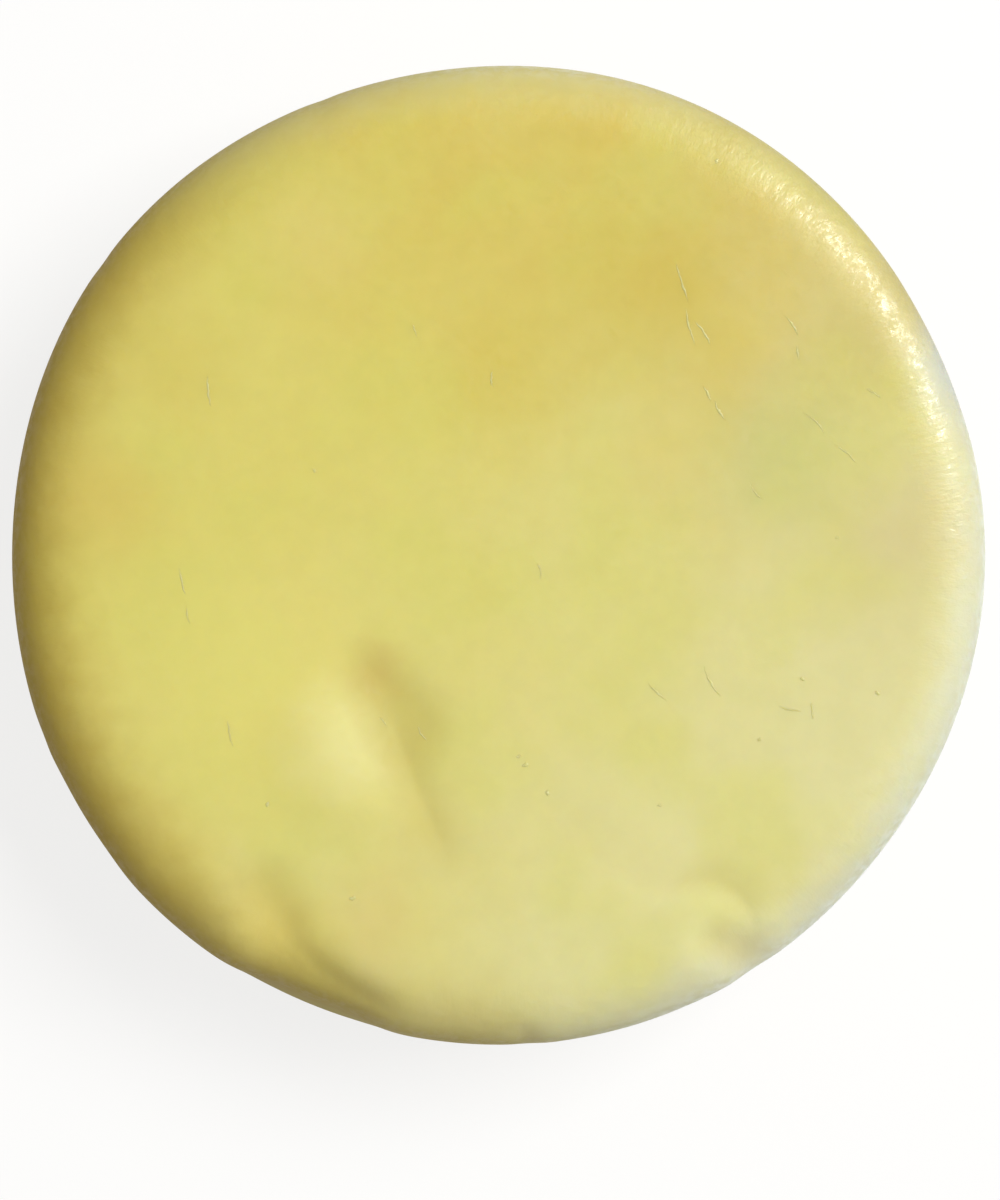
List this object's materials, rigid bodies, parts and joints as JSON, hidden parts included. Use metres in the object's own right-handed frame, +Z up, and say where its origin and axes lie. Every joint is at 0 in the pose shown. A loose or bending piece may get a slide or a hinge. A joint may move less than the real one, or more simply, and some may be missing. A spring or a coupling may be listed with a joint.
{
  "type": "melting cheese wheel",
  "caption": "Whole round wheel of soft yellow melting cheese with a smooth folded skin, resting on its flat base.",
  "frame": {"origin": "on the surface that the wheel rests on, under the middle of its outline", "axes": "+Z up along the wheel's axis; +Y and +X lie in the base, and the folded side of the edge faces -Y"},
  "size_m": [0.1494, 0.1502, 0.0555],
  "materials": {
    "cheese_skin": "smooth, slightly oily pale yellow cheese skin with a faint leathery grain"
  },
  "bodies": {
    "root": {"cheese_wheel": "cheese_skin"}
  },
  "joints": []
}
